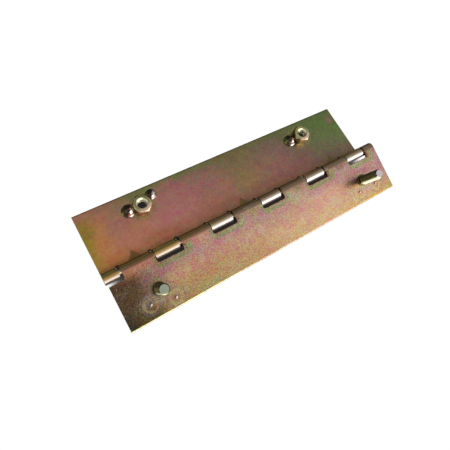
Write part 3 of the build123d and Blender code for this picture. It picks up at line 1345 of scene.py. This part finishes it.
@dataclass
class StudBolt:
    """M6 bolt put in from below, its hexagon head welded under the leaf.

    Args:
        side: left or right.
        finish: its plating.
        shank_radius: radius of the thread's crests.
        shoulder_radius: radius of the plain shoulder under the thread.
        shoulder_rise: top of the shoulder above the leaf's face.
        head_height: height of the head.
        across_flats: width of the head.
        rise: tip above the leaf's face.
        tip_chamfer: width and height of the chamfer at the tip.
        outside: how far the head's rounding cutter stands outside its corners.
        cone_height: height of the cone that cuts the head's corners.
        cone_depth: how far it cuts into them.
    """

    side: str
    finish: bpy.types.Material
    shank_radius: float = 3.0
    shoulder_radius: float = 3.85
    shoulder_rise: float = 1.2
    head_height: float = 4.0
    across_flats: float = 10.0
    rise: float = STUD_RISE
    tip_chamfer: float = 0.65
    outside: float = 0.05
    cone_height: float = 0.6
    cone_depth: float = 0.95

    def build(self) -> bpy.types.Object:
        """Models the bolt with its thread.

        Returns:
            The piece, in place.
        """
        thread = Thread(crest=self.shank_radius)
        bolt = thread.solid(f"{self.side}_stud", self.shoulder_rise - SPARE, self.rise)
        wide = self.shank_radius + SPARE
        level = self.rise - self.tip_chamfer - SPARE
        blank = Bench.cylinder("blank", wide, -0.5, level)
        scale = (self.shank_radius - self.tip_chamfer) / wide
        Bench.step_end(blank, level, self.tip_chamfer + SPARE, scale)
        Bench.combine(bolt, blank, Cut.KEEP)
        shoulder = Bench.cylinder(
            "shoulder", self.shoulder_radius, -SHEET - 0.3, self.shoulder_rise
        )
        Bench.round_edges(shoulder, 0.18, 3, 40)
        Bench.combine(bolt, shoulder, Cut.JOIN)
        Bench.combine(bolt, self.head(), Cut.JOIN)
        Bench.clean(bolt)
        foot = Vector(mount(f"{self.side}_bolt_stud")["pos_m"])
        foot.z = 0.0
        Bench.put(bolt, seat(foot, Vector(mount(f"{self.side}_bolt_stud")["axis"])))
        Bench.smooth(bolt, 35)
        return bolt

    def head(self) -> bpy.types.Object:
        """Models the hexagon head with its corners turned off below.

        Returns:
            The head, in millimetres under the origin.
        """
        corner = corner_radius(self.across_flats)
        base = -SHEET - self.head_height
        head = Bench.cylinder("head", corner, base, -SHEET, HEXAGON)
        wide = corner + self.outside
        turned = Bench.cylinder("turn", wide, base + self.cone_height, -SHEET + 0.01)
        scale = (corner - self.cone_depth) / wide
        Bench.step_end(turned, base + self.cone_height, -self.cone_height, scale)
        Bench.combine(head, turned, Cut.KEEP)
        Bench.round_edges(head, 0.12, 2, 25)
        Bench.clean(head)
        return head

    def fit(self) -> bpy.types.Object:
        """Builds and dresses the bolt, and lets it ride on its leaf.

        Returns:
            The piece.
        """
        bolt = self.build()
        Bench.dress(bolt, self.finish)
        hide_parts(f"{self.side}_bolt")
        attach(bolt, "bolt_side")
        return bolt


@dataclass
class WeldNut:
    """M6 hexagon nut welded to the nut leaf.

    Args:
        side: left or right.
        finish: its plating.
        turn: how far its hexagon is turned on the leaf, in degrees.
        across_flats: width.
        height: height.
        crest: radius of the thread's roots in the nut.
        mouth_radius: radius of the countersink at the nut's faces.
        mouth_narrow: how much narrower the countersink is inside.
        mouth_depth: depth of the countersink.
        overshoot: how far the cutters stand out of the nut.
        face_radius: radius of the flat circle on the nut's faces.
        outside: how far the rounding cutter stands outside the corners.
    """

    side: str
    finish: bpy.types.Material
    turn: float
    across_flats: float = 10.0
    height: float = 5.0
    crest: float = 3.0
    mouth_radius: float = 3.2
    mouth_narrow: float = 0.75
    mouth_depth: float = 0.7
    overshoot: float = 0.6
    face_radius: float = 4.75
    outside: float = 0.05

    def place(self) -> Matrix:
        """Placement with the origin at the foot of the nut on the leaf.

        Returns:
            The placement.
        """
        thread = mount(f"{self.side}_nut_thread")
        axis = Vector(thread["axis"]).normalized()
        axis = axis if axis.z > 0 else -axis
        foot = Vector(thread["pos_m"]) - axis * (self.height / 2 * MM)
        return seat(foot, axis) @ Matrix.Rotation(math.radians(self.turn), 4, "Z")

    def build(self) -> bpy.types.Object:
        """Models the nut with its thread.

        Returns:
            The piece, in place.
        """
        corner = corner_radius(self.across_flats)
        nut = Bench.cylinder(f"{self.side}_hex_nut", corner, 0, self.height, HEXAGON)
        wide = corner + self.outside
        slope = (wide - self.face_radius) * math.tan(math.radians(30))
        turned = Bench.cylinder("turned", wide, slope, self.height - slope)
        scale = self.face_radius / wide
        Bench.step_end(turned, self.height - slope, slope, scale)
        Bench.step_end(turned, slope, -slope, scale)
        Bench.combine(nut, turned, Cut.KEEP)
        Bench.round_edges(nut, 0.14, 2, 20)
        Bench.clean(nut)
        tap = Thread(crest=self.crest).solid("tap", -self.overshoot, self.height + self.overshoot)
        Bench.combine(nut, tap, Cut.CARVE)
        for level, outward in ((self.height, 1), (0.0, -1)):
            Bench.combine(nut, self.mouth(level, outward), Cut.CARVE)
        Bench.clean(nut)
        Bench.put(nut, self.place())
        Bench.smooth(nut, 32)
        return nut

    def mouth(self, level: float, outward: int) -> bpy.types.Object:
        """Models the cutter of one countersink: wide at the face, narrow inside.

        Args:
            level: height of the nut's face.
            outward: 1 for the upper face, -1 for the lower.

        Returns:
            The cutter.
        """
        inner = level - outward * self.mouth_depth
        low, high = min(level, inner), max(level, inner)
        mouth = Bench.cylinder("mouth", self.mouth_radius, low, high)
        Bench.pick_end(mouth, inner)
        Bench.widen(inner, (self.mouth_radius - self.mouth_narrow) / self.mouth_radius)
        bpy.ops.object.mode_set(mode="OBJECT")
        Bench.step_end(mouth, level, outward * self.overshoot, 1.12)
        return mouth

    def fit(self) -> bpy.types.Object:
        """Builds and dresses the nut, and lets it ride on its leaf.

        Returns:
            The piece.
        """
        nut = self.build()
        Bench.dress(nut, self.finish)
        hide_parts(f"{self.side}_nut")
        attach(nut, "nut_side")
        return nut


@dataclass
class TackWeld:
    """One bead of weld metal in the corner between a leaf and a nut or bolt head.

    Args:
        node: the bead's CAD node.
        body: the body that it rides on.
        normal: normal of the sheet that it lies on.
        sheet_point: a point on that sheet's face.
        finish: its plating.
        radius: radius of its foot.
        height: height of its crown.
        narrow: its width against its length.
        unevenness: depth of the ripples in its skin.
        ripple_size: width of the ripples.
        sunk: how far its foot goes into the sheet.
    """

    node: str
    body: str
    normal: Vector
    sheet_point: Vector
    finish: bpy.types.Material
    radius: float
    height: float
    narrow: float = 0.94
    unevenness: float = 0.25
    ripple_size: float = 1.6
    sunk: float = 0.05

    def build(self) -> bpy.types.Object:
        """Models the bead as a dome with a rippled skin.

        Returns:
            The piece, in place.
        """
        Bench.clear()
        bpy.ops.mesh.primitive_uv_sphere_add(
            segments=64, ring_count=40, radius=1.0, location=(0, 0, 0)
        )
        bead = Bench.added(f"{self.node}_bead")
        Bench.edit(bead, "FACE", "SELECT")
        size = (self.radius, self.radius * self.narrow, self.height)
        bpy.ops.transform.resize(value=size)
        self.puddle(bead)
        self.ripple(bead)
        Bench.slice_off(bead, -self.sunk, -1)
        Bench.clean(bead)
        Bench.put(bead, self.foot())
        Bench.smooth(bead, 50)
        return bead

    def puddle(self, bead: bpy.types.Object) -> None:
        """Spreads the foot of the dome where it wets the sheet.

        Args:
            bead: the dome, open in edit mode.
        """
        for share, spread in ((0.30, 1.06), (0.16, 1.10)):
            bpy.ops.mesh.select_all(action="DESELECT")
            Bench.pick(bead, "verts", lambda v: v.co.z < self.height * share)
            Bench.widen(0, spread)
        bpy.ops.object.mode_set(mode="OBJECT")

    def ripple(self, bead: bpy.types.Object) -> None:
        """Makes the skin uneven, as weld metal freezes.

        Args:
            bead: the dome.
        """
        clouds = bpy.data.textures.new(f"{self.node}_skin", "CLOUDS")
        clouds.noise_scale = self.ripple_size
        clouds.noise_depth = 1
        Bench.take(bead)
        change = bead.modifiers.new("skin", "DISPLACE")
        change.texture = clouds
        change.strength = self.unevenness
        change.mid_level = 0.5
        bpy.ops.object.modifier_apply(modifier=change.name)

    def foot(self) -> Matrix:
        """Placement with the origin at the middle of the bead's foot on the sheet.

        Returns:
            The placement.
        """
        low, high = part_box(self.node)
        centre = (low + high) / 2
        centre = centre - self.normal * (centre - self.sheet_point).dot(self.normal)
        return seat(centre, self.normal)

    def fit(self) -> bpy.types.Object:
        """Builds and dresses the bead, and lets it ride on its leaf.

        Returns:
            The piece.
        """
        bead = self.build()
        Bench.dress(bead, self.finish)
        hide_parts(self.node)
        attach(bead, self.body)
        return bead


@dataclass
class CadPiece:
    """A leaf or the pin: a CAD node in a finish of its own.

    Args:
        node: the CAD node.
        finish: its plating.
    """

    node: str
    finish: Union[YellowZinc, PlatedSteel]

    def dress(self) -> bpy.types.Object:
        """Gives the node its plating.

        Returns:
            The node's object.
        """
        piece = frame["nodes"][self.node]
        Bench.dress(piece, self.finish.material())
        return piece


@dataclass
class Softbox:
    """One studio light that faces the hinge.

    Args:
        name: the light's name.
        towards: direction from the hinge to the light.
        distance: metres from the hinge.
        size: width and height in metres.
        glow: brightness of its face, where 1 is white.
    """

    name: str
    towards: tuple[float, float, float]
    distance: float
    size: tuple[float, float]
    glow: float

    def build(self, target: Vector) -> bpy.types.Object:
        """Places the light.

        Args:
            target: the point that it faces.

        Returns:
            The light.
        """
        lamp = bpy.data.lights.new(self.name, "AREA")
        lamp.shape = "RECTANGLE"
        lamp.size, lamp.size_y = self.size
        lamp.energy = self.glow * math.pi * self.size[0] * self.size[1]
        piece = bpy.data.objects.new(self.name, lamp)
        bpy.context.scene.collection.objects.link(piece)
        way = Vector(self.towards).normalized()
        across = Vector((0, 0, 1)).cross(way).normalized()
        turn = Matrix((across, way.cross(across), way)).transposed().to_4x4()
        piece.matrix_world = Matrix.Translation(target + way * self.distance) @ turn
        return piece


@dataclass
class Studio:
    """Camera, lights and floor.

    Args:
        lens: focal length of the camera.
        eye: place of the camera.
        right: the camera's right.
        up: the camera's up.
        floor_size: side of the square floor.
        floor_drop: floor under the lowest point of the hinge.
        target: the point that the light faces.
        ambient: brightness of the surrounding light.
        dark_way: direction of a dark patch overhead.
        dark_cone: half angles in degrees at which the patch starts and is full.
        dark_amount: how dark it is.
        behind: height of a direction towards +Y at which the dark back starts and is full.
        behind_amount: how dark the back is.
        backdrop: brightness of the backdrop in view.
    """

    lens: float = 30.19
    eye: tuple[float, float, float] = (-0.09974, 0.01547, 0.20195)
    right: tuple[float, float, float] = (0.8389, -0.4482, 0.3089)
    up: tuple[float, float, float] = (0.4224, 0.8939, 0.1499)
    floor_size: float = 3.0
    floor_drop: float = 0.0005
    target: tuple[float, float, float] = (0.0, 0.015, 0.0)
    ambient: float = 0.6
    dark_way: tuple[float, float, float] = (-0.02, 0.0, 1.0)
    dark_cone: tuple[float, float] = (18.0, 7.0)
    dark_amount: float = 0.5
    behind: tuple[float, float] = (0.42, 0.66)
    behind_amount: float = 0.8
    backdrop: float = 1.02

    def build_camera(self) -> bpy.types.Object:
        """Places the camera above the left end of the pin.

        Returns:
            The camera.
        """
        data = bpy.data.cameras.new("view_camera")
        data.lens = self.lens
        data.sensor_width = 36.0
        data.clip_start = 0.01
        data.clip_end = 20.0
        camera = bpy.data.objects.new("view_camera", data)
        bpy.context.scene.collection.objects.link(camera)
        x = Vector(self.right).normalized()
        y = Vector(self.up)
        y = (y - x * y.dot(x)).normalized()
        turn = Matrix((x, y, x.cross(y))).transposed().to_4x4()
        camera.matrix_world = Matrix.Translation(Vector(self.eye)) @ turn
        bpy.context.scene.camera = camera
        return camera

    def build_floor(self) -> bpy.types.Object:
        """Lays the floor just under the lowest point of the hinge.

        Returns:
            The floor.
        """
        Bench.clear()
        level = cad_box[0].z - self.floor_drop
        bpy.ops.mesh.primitive_plane_add(size=self.floor_size, location=(0, 0, level))
        floor = Bench.added("studio_floor")
        bpy.ops.object.transform_apply(location=True, rotation=True, scale=True)
        Bench.dress(floor, PaleFloor().material())
        return floor

    def build_lights(self) -> None:
        """Places the softbox and the surrounding light."""
        box = Softbox("front_box", (0.35, -1.0, 0.75), 0.9, (1.8, 0.75), 1.7)
        box.build(Vector(self.target))
        world = bpy.data.worlds.new("studio")
        g = Graph(world)
        way = g.node("ShaderNodeTexCoord", None, (), "Generated")
        overhead = g.node(
            "ShaderNodeVectorMath",
            {"operation": "DOT_PRODUCT"},
            [way, tuple(Vector(self.dark_way).normalized())],
            "Value",
        )
        spot = overhead.rise(*(math.cos(math.radians(angle)) for angle in self.dark_cone))
        behind = g.split(way)[1].rise(*self.behind)
        light = self.ambient * (1.0 - spot * self.dark_amount)
        light = light * (1.0 - behind * self.behind_amount)
        lit = g.node("ShaderNodeBackground", None, {"Color": WHITE, "Strength": light})
        backdrop = g.node("ShaderNodeBackground", None, {"Color": WHITE, "Strength": self.backdrop})
        seen = g.node("ShaderNodeLightPath", None, (), "Is Camera Ray")
        g.end(g.node("ShaderNodeMixShader", None, [seen, lit, backdrop]), "ShaderNodeOutputWorld")
        bpy.context.scene.world = world

    def build(self) -> None:
        """Sets up the whole studio."""
        self.build_camera()
        self.build_floor()
        self.build_lights()
        bpy.context.scene.view_settings.view_transform = "Standard"


def rest_fold() -> float:
    """Angle of the nut leaf below flat, from the mounting face on its back."""
    axis = mount("nut_leaf_back")["axis"]
    return math.atan2(-axis[1], -axis[2])


def pin_axis() -> tuple[float, float]:
    """The pin axis in the Y-Z plane, in millimetres."""
    joint = next(j for j in frame["joints"] if j["name"] == "leaf_swing")
    return joint["pos_m"][1] / MM, joint["pos_m"][2] / MM


def heat_marks(along: float, away: float) -> list[Mark]:
    """Marks that a weld under the leaf leaves in the film above it.

    Args:
        along: place of the weld along the pin.
        away: its distance from the pin axis.

    Returns:
        A heat spot, two rings, and the shadow and light of a small pip.
    """
    return [
        Mark(along, away, 0.0, 3.4, (0.50, 0.32, 0.26), 0.5),
        Mark(along, away, 3.6, 1.4, (0.80, 0.62, 0.34), 0.5),
        Mark(along, away, 5.4, 1.0, (0.46, 0.32, 0.34), 0.35),
        Mark(along - 0.9, away, 0.0, 0.8, (0.08, 0.05, 0.03), 1.0),
        Mark(along + 0.4, away - 0.1, 0.0, 0.6, (1.0, 0.97, 0.95), 1.0),
    ]


def bolt_leaf_finish() -> YellowZinc:
    """Pinkish gold film of the bolt leaf.

    Returns:
        The finish.
    """
    low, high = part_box("bolt_leaf")
    axis = pin_axis()
    layout = LeafLayout(low.x / MM, high.x / MM, axis, 0.0, -1, axis[0] - low.y / MM)
    marks = []
    for side in SIDES:
        stud = mount(f"{side}_bolt_stud")["pos_m"]
        along, away = stud[0] / MM, axis[0] - stud[1] / MM
        marks.append(Mark(along, away, 5.2, 1.6, (0.50, 0.46, 0.24), 0.55))
        for end in SIDES:
            corner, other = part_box(f"{side}_bolt_{end}_tack_weld")
            middle = (corner + other) / 2 / MM
            marks += heat_marks(middle.x, axis[0] - middle.y)
    # A faint greenish arc near the outer edge, and a paler patch between two gaps
    marks.append(Mark(-46.0, 39.0, 11.5, 1.1, (0.46, 0.48, 0.30), 0.6))
    marks.append(Mark(22.0, 7.0, 0.0, 8.5, (0.66, 0.54, 0.34), 0.75))
    return YellowZinc(
        name="bolt_leaf_film",
        layout=layout,
        bands=BOLT_LEAF_BANDS,
        roll=BOLT_LEAF_ROLL,
        roll_right=BOLT_LEAF_ROLL_RIGHT,
        glint=Glint(first=-70.0, lean=-48.0),
        # Painted highlight where the rounded outer edge catches the light, fading out towards the middle
        edge_line=EdgeLine((1.0, 0.98, 0.50), 0.9, stop=0.45),
        hue=1.0,
        grain=1.3,
        marks=tuple(marks),
        halo=Halo(first=-59.68, width=16.25, depth=4.7),
    )


def nut_leaf_finish() -> YellowZinc:
    """Gold, terracotta and green film of the nut leaf.

    Returns:
        The finish.
    """
    low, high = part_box("nut_leaf")
    span = (low.x / MM, high.x / MM)
    marks = []
    for side in SIDES:
        along = mount(f"{side}_nut_thread")["pos_m"][0] / MM
        marks.append(Mark(along, NUT_FROM_AXIS, 6.4, 3.2, (0.34, 0.30, 0.12), 0.6))
    # A pink spot near the right-hand corner
    marks.append(Mark(81.0, 30.5, 0.0, 3.4, (0.44, 0.20, 0.17), 0.8))
    return YellowZinc(
        name="nut_leaf_film",
        layout=LeafLayout(*span, pin_axis(), rest_fold(), 1, NUT_LEAF_WIDTH),
        bands=NUT_LEAF_BANDS,
        roll=NUT_LEAF_ROLL,
        roll_right=NUT_LEAF_ROLL_RIGHT,
        glint=Glint(first=-54.75, lean=-47.0),
        edge_line=EdgeLine((0.08, 0.07, 0.02), 0.85, stop=2.0),
        hue=0.75,
        grain=0.14,
        marks=tuple(marks),
        shade=Shade((0.17, 0.11, 0.04), 0.6),
        wedge=DarkWedge(first=-78.0, pitch=71.0, half=4.2, reach=5.5),
        roughness=0.33,
    )


def pin_finish() -> PlatedSteel:
    """Plating of the hinge pin, with a painted highlight down one side."""
    middle = Vector((0, *pin_axis()))
    return PlatedSteel("pin_film", middle, 0.0, PIN_BODY, (0.60, 0.52, 0.36))


def stud_finish(side: str) -> PlatedSteel:
    """Greenish gold plating of one bolt, with its pale tip and a painted highlight down one side.

    Args:
        side: left or right.

    Returns:
        The finish.
    """
    foot = Vector(mount(f"{side}_bolt_stud")["pos_m"]) / MM
    foot.z = 0.0
    return PlatedSteel(
        name=f"{side}_stud_film",
        centre=foot,
        lean=0.0,
        body=STUD_BODY,
        lit=(1.0, 0.98, 0.60),
        hand=-105.0,
        tip=STUD_TIPS[side],
        level=STUD_RISE,
    )


def nut_finish(side: str) -> PlatedSteel:
    """Plating of one nut: painted shade in the bore, a painted highlight in the mouth, gold flats, and a painted
    highlight in a coppery tone on the side that faces the light.

    Args:
        side: left or right.

    Returns:
        The finish.
    """
    return PlatedSteel(
        name=f"{side}_nut_film",
        centre=Vector(mount(f"{side}_nut_thread")["pos_m"]) / MM,
        lean=rest_fold(),
        body=NUT_BODY,
        lit=(0.92, 0.66, 0.48),
        hand=-75.0,
    )


def tack_weld(
    node: str, body: str, normal: Vector, sheet_point: Vector, size: tuple[float, float]
) -> TackWeld:
    """One bead with its plating.

    Args:
        node: the bead's CAD node.
        body: the body that it rides on.
        normal: normal of the sheet that it lies on.
        sheet_point: a point on that sheet's face.
        size: radius and height.

    Returns:
        The bead, not yet built.
    """
    low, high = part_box(node)
    skin = WeldBead(f"{node}_film", (low + high) / 2 / MM, size[0]).material()
    return TackWeld(node, body, normal, sheet_point, skin, *size)


def main() -> None:
    """Builds the studio and then each sub-assembly of the hinge."""
    logging.basicConfig(level=logging.INFO, format="%(name)s: %(message)s")
    Studio().build()
    made = [
        CadPiece("bolt_leaf", bolt_leaf_finish()).dress(),
        CadPiece("nut_leaf", nut_leaf_finish()).dress(),
        CadPiece("hinge_pin", pin_finish()).dress(),
    ]
    for side in SIDES:
        made.append(StudBolt(side, stud_finish(side).material()).fit())
        made.append(WeldNut(side, nut_finish(side).material(), NUT_TURNS[side]).fit())
    leaf_normal = -Vector(mount("nut_leaf_back")["axis"])
    leaf_face = Vector(mount("nut_leaf_back")["pos_m"]) + leaf_normal * (SHEET * MM)
    under_face = Vector((0, 0, -SHEET * MM))
    for (side, end), size in NUT_BEADS.items():
        over = (f"{side}_nut_{end}_tack_weld", "nut_side", leaf_normal, leaf_face, size)
        under = (f"{side}_bolt_{end}_tack_weld", "bolt_side", DOWNWARDS, under_face, HEAD_BEAD)
        made += [tack_weld(*over).fit(), tack_weld(*under).fit()]
    for piece in made:
        log.info("%s: %d faces", piece.name, len(piece.data.polygons))


if __name__ == "__main__":
    main()
